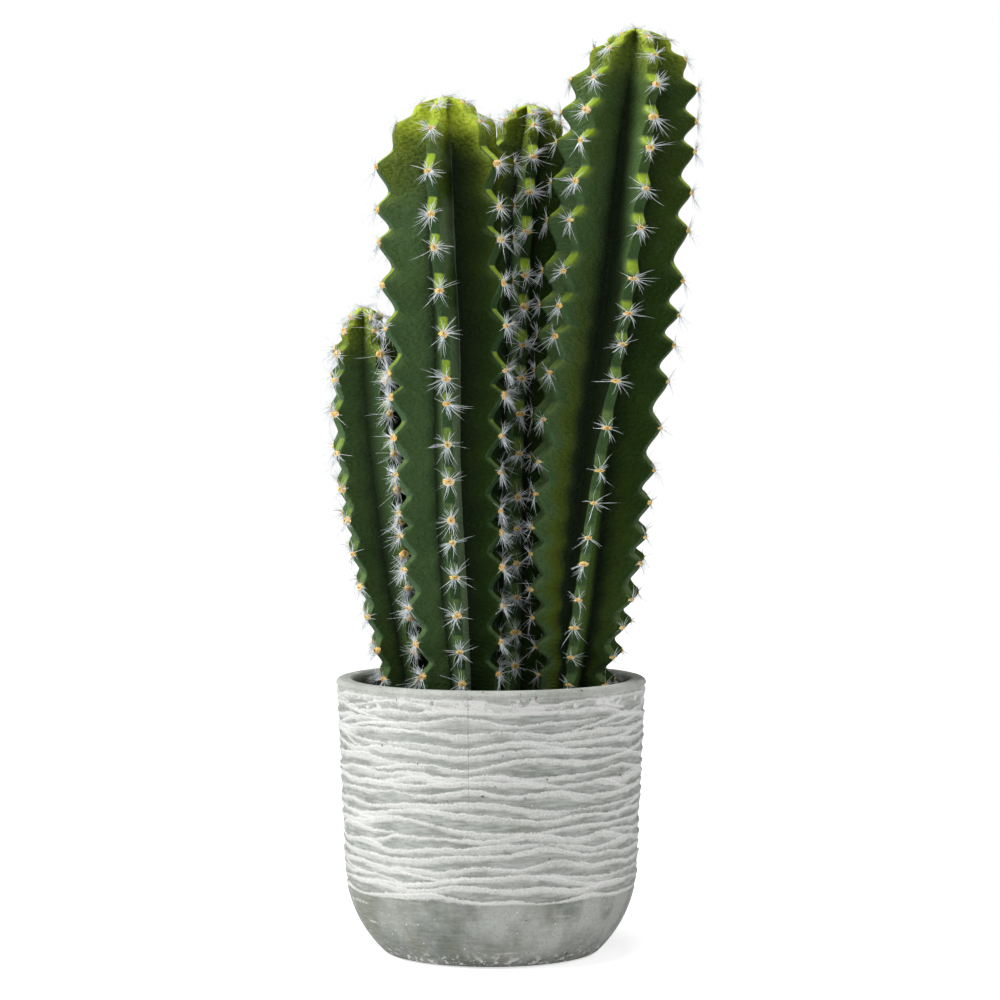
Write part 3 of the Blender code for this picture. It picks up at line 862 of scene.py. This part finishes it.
class Cones:
    """Bent cones, three-sided and closed, in one mesh."""

    def __init__(self):
        self.vertices, self.faces, self.along = [], [], []

    def add(self, start, heading, sag, length, thick, joints):
        """One cone: it heads off straight and sags more and more."""
        across = heading.orthogonal().normalized()
        other = heading.cross(across)
        first = len(self.vertices)
        for joint in range(joints):
            part = joint / joints
            point = start + heading * (length * part) + sag * (length * part**2)
            for corner in range(SPINE_SIDES):
                spin = FULL_TURN * corner / SPINE_SIDES
                offset = (across * math.cos(spin) + other * math.sin(spin)) * thick
                self.vertices.append(tuple(point + offset * (1.0 - SPINE_TAPER * part)))
                self.along.append(part)
        tip, last = len(self.vertices), first + (joints - 1) * SPINE_SIDES
        self.vertices.append(tuple(start + heading * length + sag * length))
        self.along.append(1.0)
        self.faces += reverse([first + index for index in face] for face in grid_faces(joints, SPINE_SIDES))
        for corner in range(SPINE_SIDES):
            self.faces.append((last + corner, last + (corner + 1) % SPINE_SIDES, tip))
        self.faces.append(tuple(reversed(range(first, first + SPINE_SIDES))))


def add_hair(cones, spot, bundles, woolly, dice):
    """One spine, or one short curly hair of wool, in its bundle or anywhere round its areole."""
    place, out, up, size = spot
    side = out.cross(up)
    if dice.random() < BUNDLED:
        turn = dice.choice(bundles) + dice.gauss(0.0, BUNDLE_WIDE)
    else:
        turn = dice.uniform(0.0, FULL_TURN)
    lift = dice.uniform(*SPINE_LIFTS)
    flat = side * math.cos(turn) + up * math.sin(turn)
    heading = (flat * math.cos(lift) + out * math.sin(lift)).normalized()
    length = dice.uniform(*WOOL_LENGTHS) if woolly else dice.triangular(*SPINE_LENGTHS)
    length *= (1.0 - UP_SHORTER * math.sin(turn)) * size
    curl, thickness, joints = WOOL_KIND if woolly else SPINE_KIND
    sag = Vector((0, 0, -1)) * dice.uniform(*SPINE_SAGS) + side * dice.uniform(-curl, curl)
    thick = dice.uniform(*thickness)
    start = place + flat * dice.uniform(*SPINE_STARTS) + out * SPINE_PROUD
    cones.add(start, heading, sag, length, thick, joints)


def make_spines(skin, spots, material, dice):
    """Fine spines in a fan at each areole, some of them bundled, over short wool."""
    cones = Cones()
    for spot in spots:
        bundles = [dice.uniform(0.0, FULL_TURN) for _ in range(BUNDLES)]
        bundles.append(-QUARTER_TURN + dice.uniform(*LOW_BUNDLE))
        left = 1.0 - skin.bare * skin.age(spot[0].z)
        spines = int(dice.randint(*SPINES) * left)
        for number in range(spines + int(WOOL * left)):
            add_hair(cones, spot, bundles, number >= spines, dice)
    marks = {"along_spine": cones.along}
    add_piece(skin.name + "_spines", cones.vertices, cones.faces, material, marks=marks)


# ---------------------------------------------------------------- pot and soil

RIDGES = 19
LINKS = 48  # crests that leave one ridge and join the next
POT_COLUMNS = 400
FOOT_ROWS, BAND_ROWS, ROUND_STEPS, INSIDE_ROWS = 22, 192, 8, 8
BELLY_POWER = 3

LOW_BEATS, OWN_BEATS = ((2, 3, 5, 8, 13), 0.25), ((3, 4, 6, 9, 12), 0.12)  # waves round the pot, decay
FINE_BEATS = (21, 34, 47, 61, 83), 0.25
WAVE_SIZES = (0.4, 1.0)
SHARED_WAVES = (7, 0.9, 0.9), (11, 0.8, 0.6)  # seed, size, and how it turns from ridge to ridge
OWN_WAVES = (100, 0.98, OWN_BEATS), (400, 0.38, FINE_BEATS)  # seed, size, beats
STRENGTH, STRENGTH_WAVES, STRENGTH_RANGE = 0.84, (200, 0.26), (0.12, 1.0)  # its mean, waves and limits
SOAK, SOAK_WAVES, SOAK_RANGE = 0.62, (300, 0.15), (0.20, 1.1)  # the same of the wash's depth, in pitches
CREST_SEED, CREST_JITTER = 3, 0.15
CREST_LOW, CREST_LOW_OWN, CREST_HIGH = 2.0, 0.3, 0.6  # how far a crest may leave the band
LINK_SPANS, LINK_STRENGTHS, LINK_SOAKS, LINK_RISE = (0.20, 0.50), (0.6, 0.95), (1.6, 3.2), 6.0

RELIEF_LOW, RELIEF_TALL = -0.55, 1.35  # a recess, and a full crest above it
FACE_LENGTH, FACE_POWER, CREST_SHARP = 3.7, 1.2, 0.30  # how a ridge falls off below its crest, and above
SOAK_POWER, SOAK_EXTRA, SOAK_FROM = 2.6, 0.1, 0.01  # how a wash ends, its extra, and the least crest with one
COAT_OVERLAP = 0.8  # how far above its crest a wash is carried on, where the material trims it
CREST_REACH, CREST_BOOST = 1.6, 1.4  # how near a crest counts, and how soon a strong one counts fully
NO_CREST = 30.0  # a distance at which no crest is near


def pot_radius(height):
    low = 1.0 - min(height, POT_BELLY_HEIGHT) / POT_BELLY_HEIGHT
    high = max(height - POT_BELLY_HEIGHT, 0.0) / (POT_HEIGHT - POT_BELLY_HEIGHT)
    foot = (POT_BELLY_RADIUS - POT_FOOT_RADIUS) * (1.0 - low**BELLY_POWER)
    return POT_FOOT_RADIUS + foot + (POT_RIM_RADIUS - POT_BELLY_RADIUS) * high


def waves(turn, seed, tall, beats=LOW_BEATS):
    """A wander round the pot that meets itself, in millimetres."""
    dice = random.Random(seed)
    total = np.zeros_like(turn)
    for beat in beats[0]:
        size = dice.uniform(*WAVE_SIZES) / beat ** beats[1]
        total += size * np.sin(beat * turn + dice.uniform(0, FULL_TURN))
    return total * tall


def ridge_crest(turn, ridge, pitch, jitter):
    """(height of the line, strength, wash depth) of one ridge's crest round the pot."""
    shared = [waves(turn, seed, size) for seed, size, _ in SHARED_WAVES]
    steps = [ridge * step for _, _, step in SHARED_WAVES]
    own = sum(waves(turn, seed + ridge, size, beats) for seed, size, beats in OWN_WAVES)
    strong, soaked = (waves(turn, seed + ridge, size) for seed, size in (STRENGTH_WAVES, SOAK_WAVES))
    line = POT_BAND_TOP - pitch * (ridge + jitter)
    line = line + (shared[0] * math.sin(steps[0]) + shared[1] * math.cos(steps[1])) + own
    line = np.clip(line, POT_BAND_BOTTOM - CREST_LOW + CREST_LOW_OWN * own, POT_BAND_TOP + CREST_HIGH)
    return line, np.clip(STRENGTH + strong, *STRENGTH_RANGE), pitch * np.clip(SOAK + soaked, *SOAK_RANGE)


def link_crest(turn, crests, dice):
    """The same of a short crest that leaves one ridge and joins the next."""
    ridge, middle, span = dice.randrange(RIDGES), dice.uniform(0, FULL_TURN), dice.uniform(*LINK_SPANS)
    away = (turn - middle + math.pi) % FULL_TURN - math.pi
    part = unit(away / span * dice.choice((-1, 1)) / 2 + 0.5)
    ease = part * part * (3.0 - 2.0 * part)
    line = crests[ridge][0] * (1.0 - ease) + crests[ridge + 1][0] * ease
    strength = dice.uniform(*LINK_STRENGTHS) * unit(hump(part, LINK_RISE))
    return line, strength, 0.0 * turn + dice.uniform(*LINK_SOAKS)


def ridge_crests(turn):
    """Every crest, ridges from the top down before links."""
    pitch = (POT_BAND_TOP - POT_BAND_BOTTOM) / RIDGES
    dice = random.Random(CREST_SEED)
    crests = [ridge_crest(turn, ridge, pitch, dice.uniform(-CREST_JITTER, CREST_JITTER))
              for ridge in range(RIDGES + 1)]
    return crests + [link_crest(turn, crests, dice) for _ in range(LINKS)]


def ridge_relief(crests, height):
    """(relief, the nearest crest's wash, the others', distance under that crest, nearness to it).

    Each ridge is a shingle: its face slopes back below its crest, and the next crest cuts it off, so
    that ridges merge where their lines cross.
    """
    relief, wash, shed = np.full(POT_COLUMNS, RELIEF_LOW), np.zeros(POT_COLUMNS), np.zeros(POT_COLUMNS)
    under, near = np.full(POT_COLUMNS, NO_CREST), np.zeros(POT_COLUMNS)
    for line, strong, soaked in crests:
        below = line - height
        inside = np.exp(-np.abs(below / FACE_LENGTH) ** FACE_POWER)
        face = np.where(below >= 0, inside, np.exp(np.minimum(below, 0) / CREST_SHARP))
        relief = np.maximum(relief, face * strong * RELIEF_TALL + RELIEF_LOW)
        layer = np.exp(-np.abs(np.maximum(below, 0) / soaked) ** SOAK_POWER)
        layer = layer * np.minimum(strong + SOAK_EXTRA, 1.0) * (strong > SOAK_FROM)
        closeness = bell(below, CREST_REACH) * np.minimum(1.0, CREST_BOOST * strong)
        nearer = closeness > near
        shed = np.maximum(shed, np.where(nearer, np.where(under >= 0, wash, 0.0), layer * (below >= 0)))
        wash = np.where(nearer, layer * (below >= -COAT_OVERLAP), wash)
        under, near = np.where(nearer, below, under), np.where(nearer, closeness, near)
    return relief, wash, shed, under, near


SEAM_ANGLE, SEAM_WIDE = -8.1, 0.35  # the mould's seam, left of the front, in degrees
SEAM_FROM, SEAM_RISE = 55.0, 30.0  # the height from which it shows, and over which it comes in
UNDERSIDE_SHARES, UNDERSIDE_INSET = (0.4, 0.8), 1.2
LOWEST_ROWS, FOOT_START, FOOT_END = (0.25, 0.9), 2.0, 4.0
FOOT_ROUND, FOOT_ROUND_HEIGHT = 0.8, 0.6  # how far its lowest edge is rounded in
FOOT_WORN, FOOT_WORN_HEIGHT = 0.05, 3.6  # the least wear, and the height by which most of it is gone
BAND_START, BAND_END, BAND_INSET = 3.0, 1.6, 0.35  # the rows' ends outside the band, and how deep it lies
FADE_TOP, FADE_BOTTOM, FADE_SPAN = 2.6, 4.0, 2.0  # the relief ends this far outside the band
RIM_ABOVE, RIM_SPAN = 2.0, 9.0  # where the rim's grey comes in over the top ridges
THIN_LOSS, THIN_BELOW, THIN_SPAN = 0.35, 17.0, 14.0  # the wash thins towards the rim
RIDGED_SPAN = 1.5  # over this height, above the lowest crest, the recesses' grey comes in
INSIDE_DROP, INNER_DARK_SPAN = 1.5, 3.0  # the first row inside, below the top, and how soon the inner wall darkens


class PotRings:
    """The rings of the pot's surface, from the middle of its underside to its inside."""

    def __init__(self):
        self.turn = np.linspace(0.0, FULL_TURN, POT_COLUMNS, endpoint=False)
        away = (np.degrees(self.turn) - SEAM_ANGLE + 180.0) % 360.0 - 180.0
        self.seam = np.exp(-np.abs(away) / SEAM_WIDE)
        self.rows, self.marks = [], {name: [] for name in POT_MARKS}

    def add(self, radius, height, **marks):
        """One ring. A mark that isn't given is 0, and no crest is near."""
        self.rows.append(np.column_stack([
            direction(self.turn) * (radius + 0.0 * self.turn)[:, None], height + 0.0 * self.turn]))
        for name in POT_MARKS:
            missing = NO_CREST if name == "under_crest" else 0.0
            self.marks[name].append(marks.get(name, missing) + 0.0 * self.turn)

    def add_foot(self):
        for share in UNDERSIDE_SHARES:
            self.add(POT_FOOT_RADIUS * share, 0.0)
        self.add(POT_FOOT_RADIUS - UNDERSIDE_INSET, 0.0)
        for height in (*LOWEST_ROWS, *np.linspace(FOOT_START, POT_BAND_BOTTOM - FOOT_END, FOOT_ROWS)):
            inset = FOOT_ROUND * math.exp(-height / FOOT_ROUND_HEIGHT)
            worn = FOOT_WORN + (1.0 - FOOT_WORN) * math.exp(-height / FOOT_WORN_HEIGHT)
            self.add(pot_radius(height) - inset, height, foot=worn)

    def add_band(self):
        crests = ridge_crests(self.turn)
        lowest = crests[RIDGES][0]
        for height in np.linspace(POT_BAND_BOTTOM - BAND_START, POT_BAND_TOP + BAND_END, BAND_ROWS):
            relief, wash, shed, under, near = ridge_relief(crests, height)
            fade = min(1.0, (POT_BAND_TOP + FADE_TOP - height) / FADE_SPAN,
                       (height - POT_BAND_BOTTOM + FADE_BOTTOM) / FADE_SPAN)
            thin = fade * (1.0 - THIN_LOSS * unit((height - POT_BAND_TOP + THIN_BELOW) / THIN_SPAN))
            self.add(pot_radius(height) + relief * fade - BAND_INSET, height,
                     wash=wash * thin, shed=shed * thin, under_crest=under, crest_near=near * fade,
                     rim=max(0.0, 1.0 - (POT_BAND_TOP + RIM_ABOVE - height) / RIM_SPAN),
                     seam=self.seam * min(1.0, max(0.0, (height - SEAM_FROM) / SEAM_RISE)),
                     ridged=unit((height - lowest) / RIDGED_SPAN))

    def add_rim(self):
        outer, inner = POT_RIM_RADIUS - RIM_ROUND, POT_RIM_RADIUS - POT_WALL + RIM_ROUND
        for centre, begin in ((outer, 0.0), (inner, QUARTER_TURN)):
            for step in range(ROUND_STEPS + 1):
                lean = begin + QUARTER_TURN * step / ROUND_STEPS
                drop = RIM_ROUND * (1.0 - math.sin(lean))
                self.add(centre + RIM_ROUND * math.cos(lean), POT_HEIGHT - drop, rim=1.0)

    def add_inside(self):
        top = POT_HEIGHT - RIM_ROUND
        for height in np.linspace(top - INSIDE_DROP, POT_INSIDE_BOTTOM, INSIDE_ROWS):
            self.add(pot_radius(height) - POT_WALL, height, damp=min(1.0, (top - height) / INNER_DARK_SPAN))


def make_pot(material):
    rings = PotRings()
    rings.add_foot()
    rings.add_band()
    rings.add_rim()
    rings.add_inside()
    vertices = np.concatenate(rings.rows)
    last = len(vertices) - POT_COLUMNS
    faces = reverse(grid_faces(len(rings.rows), POT_COLUMNS))
    faces += [tuple(range(POT_COLUMNS)), tuple(reversed(range(last, len(vertices))))]
    marks = {name: np.concatenate(values) for name, values in rings.marks.items()}
    add_piece("cement_pot", vertices, faces, material, "pot", marks)


SOIL_SEED, SOIL_AROUND, SOIL_RINGS, SOIL_BUMPS = 5, 150, 46, 14
SOIL_GAP, SOIL_BEATS, SOIL_PHASES = 0.2, (0.08, 0.6), (0, 6.28)  # in from its box; radians per mm; radians
SOIL_WAVE, SOIL_CRUMB, SOIL_TALL = 1.1, 0.25, 0.8  # bumps, crumbs, and the height of both
SOIL_DROP, SOIL_DISH, SOIL_DISH_POWER = 0.3, 1.2, 4  # in the middle, more at the edge, and how late
SOIL_DEPTH = 1.0  # its underside, over the fill's


def make_soil(material):
    """A crumbly surface over the fill, lowest at its edge."""
    dice = random.Random(SOIL_SEED)
    edge = SOIL_HIGH.x - SOIL_GAP
    bumps = [(dice.uniform(*SOIL_BEATS), dice.uniform(*SOIL_BEATS), dice.uniform(*SOIL_PHASES))
             for _ in range(SOIL_BUMPS)]
    turns = [FULL_TURN * step / SOIL_AROUND for step in range(SOIL_AROUND)]
    vertices = []
    for ring in range(SOIL_RINGS):
        radius = edge * (ring + 1) / SOIL_RINGS
        top = SOIL_HIGH.z - SOIL_DROP - SOIL_DISH * (ring / SOIL_RINGS) ** SOIL_DISH_POWER
        for turn in turns:
            x, y = radius * math.sin(turn), -radius * math.cos(turn)
            wave = sum(math.sin(x * a + y * b + c) for a, b, c in bumps) / SOIL_BUMPS * SOIL_WAVE
            vertices.append((x, y, top + (wave + dice.uniform(-SOIL_CRUMB, SOIL_CRUMB)) * SOIL_TALL))
    low = POT_INSIDE_BOTTOM + SOIL_DEPTH
    vertices += [(edge * math.sin(turn), -edge * math.cos(turn), low) for turn in turns]
    faces = grid_faces(SOIL_RINGS + 1, SOIL_AROUND)
    faces += [tuple(reversed(range(SOIL_AROUND))), tuple(range(len(vertices) - SOIL_AROUND, len(vertices)))]
    piece = add_piece("soil_surface", vertices, faces, material, "soil")
    shape = bmesh.new()
    shape.from_mesh(piece.data)
    bmesh.ops.recalc_face_normals(shape, faces=shape.faces[:])
    shape.to_mesh(piece.data)
    shape.free()


# ---------------------------------------------------------------- studio, in metres

LENS, SENSOR, CLIP_END = 123.05, 36.0, 20.0  # the first two in millimetres
CAMERA_PLACE, CAMERA_DOWN = (0.0045, -1.72, 0.3012), 2.46  # and how many degrees it looks down
MIDDLE = (0.0, 0.0, 0.25)
LAMPS = {  # place, width and height, watts
    "left_box": ((-1.30, -0.40, 0.95), (0.5, 1.1), 24.5),
    "right_box": ((1.35, -0.30, 0.75), (0.4, 1.1), 8.5),
    "top_box": ((-0.15, -0.2, 1.7), (0.8, 0.8), 16.0),
    "front_fill": ((-0.3, -2.1, 0.5), (1.2, 1.2), 10.6),
}
FLOOR_HALF, FLOOR_DROP = 6, 0.0006
FLOOR_NEAR_FAR, FLOOR_GLOWS = (0.16, 0.42), (0.62, 1.0)  # the object's shadow fades out between these
FLOOR_GREY, WHITE = (0.9, 0.9, 0.9, 1.0), (1.0, 1.0, 1.0, 1.0)
SKY_COLOUR, SKY_STRENGTH = (0.92, 0.96, 1.0, 1.0), 0.10


def make_camera():
    data = bpy.data.cameras.new("camera")
    data.lens, data.sensor_width = LENS, SENSOR
    data.clip_end = CLIP_END
    camera = bpy.data.objects.new("camera", data)
    camera.location = CAMERA_PLACE
    camera.rotation_euler = (math.radians(90.0 - CAMERA_DOWN), 0.0, 0.0)
    bpy.context.scene.collection.objects.link(camera)
    bpy.context.scene.camera = camera


def seen_white(n):
    """1 for the rays that should meet a white background."""
    path = n.add("ShaderNodeLightPath").outputs
    through = n.math("MAXIMUM", path["Is Glossy Ray"], path["Is Transmission Ray"])
    return n.math("MAXIMUM", path["Is Camera Ray"], through)


def make_floor():
    """White away from the object, with its own soft shadow close by."""
    n = Nodes("floor")
    away = n.add("ShaderNodeVectorMath", {"operation": "LENGTH"}, i0=n.place()).outputs["Value"]
    glow = n.times(seen_white(n), n.remap(away, FLOOR_NEAR_FAR, FLOOR_GLOWS))
    mesh = bpy.data.meshes.new("floor")
    corners = [(x * FLOOR_HALF, y * FLOOR_HALF, 0) for x, y in ((-1, -1), (1, -1), (1, 1), (-1, 1))]
    mesh.from_pydata(corners, [], [(0, 1, 2, 3)])
    mesh.materials.append(n.finish(Base_Color=FLOOR_GREY, Roughness=0.9, Specular_IOR_Level=0.0,
                                   Emission_Color=WHITE, Emission_Strength=glow))
    floor = bpy.data.objects.new("floor", mesh)
    floor.location.z = -FLOOR_DROP
    bpy.context.scene.collection.objects.link(floor)


def make_world():
    """White to the eye, dim as a light."""
    n = Nodes("studio", "worlds")
    bpy.context.scene.world = n.owner
    n.tree.nodes.clear()
    dim, white = (n.add("ShaderNodeBackground", None, Color=colour, Strength=strength).outputs[0]
                  for colour, strength in ((SKY_COLOUR, SKY_STRENGTH), (WHITE, 1.0)))
    mixed = n.add("ShaderNodeMixShader", None, i0=seen_white(n), i1=dim, i2=white).outputs[0]
    n.add("ShaderNodeOutputWorld", None, Surface=mixed)


def make_lights():
    for name, (place, size, power) in LAMPS.items():
        data = bpy.data.lights.new(name, "AREA")
        data.shape, data.size, data.size_y, data.energy = "RECTANGLE", size[0], size[1], power
        lamp = bpy.data.objects.new(name, data)
        lamp.location = place
        lamp.rotation_euler = (Vector(MIDDLE) - Vector(place)).to_track_quat("-Z", "Y").to_euler()
        bpy.context.scene.collection.objects.link(lamp)


# ---------------------------------------------------------------- the scene

FELT_SEED, SPINE_SEED = 20, 40


def main():
    bpy.context.scene.view_settings.view_transform = "Standard"
    make_camera()
    make_pot(cement_material())
    make_soil(soil_material())
    skin_finish, felt, spine = skin_material(), felt_material(), spine_material()
    for number, (name, facts) in enumerate(STEMS.items()):
        skin = Skin(name, facts)
        make_skin(skin, skin_finish)
        spots = areoles(skin)
        make_felt(skin, spots, felt, random.Random(FELT_SEED + number))
        make_spines(skin, spots, spine, random.Random(SPINE_SEED + number))
    make_floor()
    make_world()
    make_lights()


main()
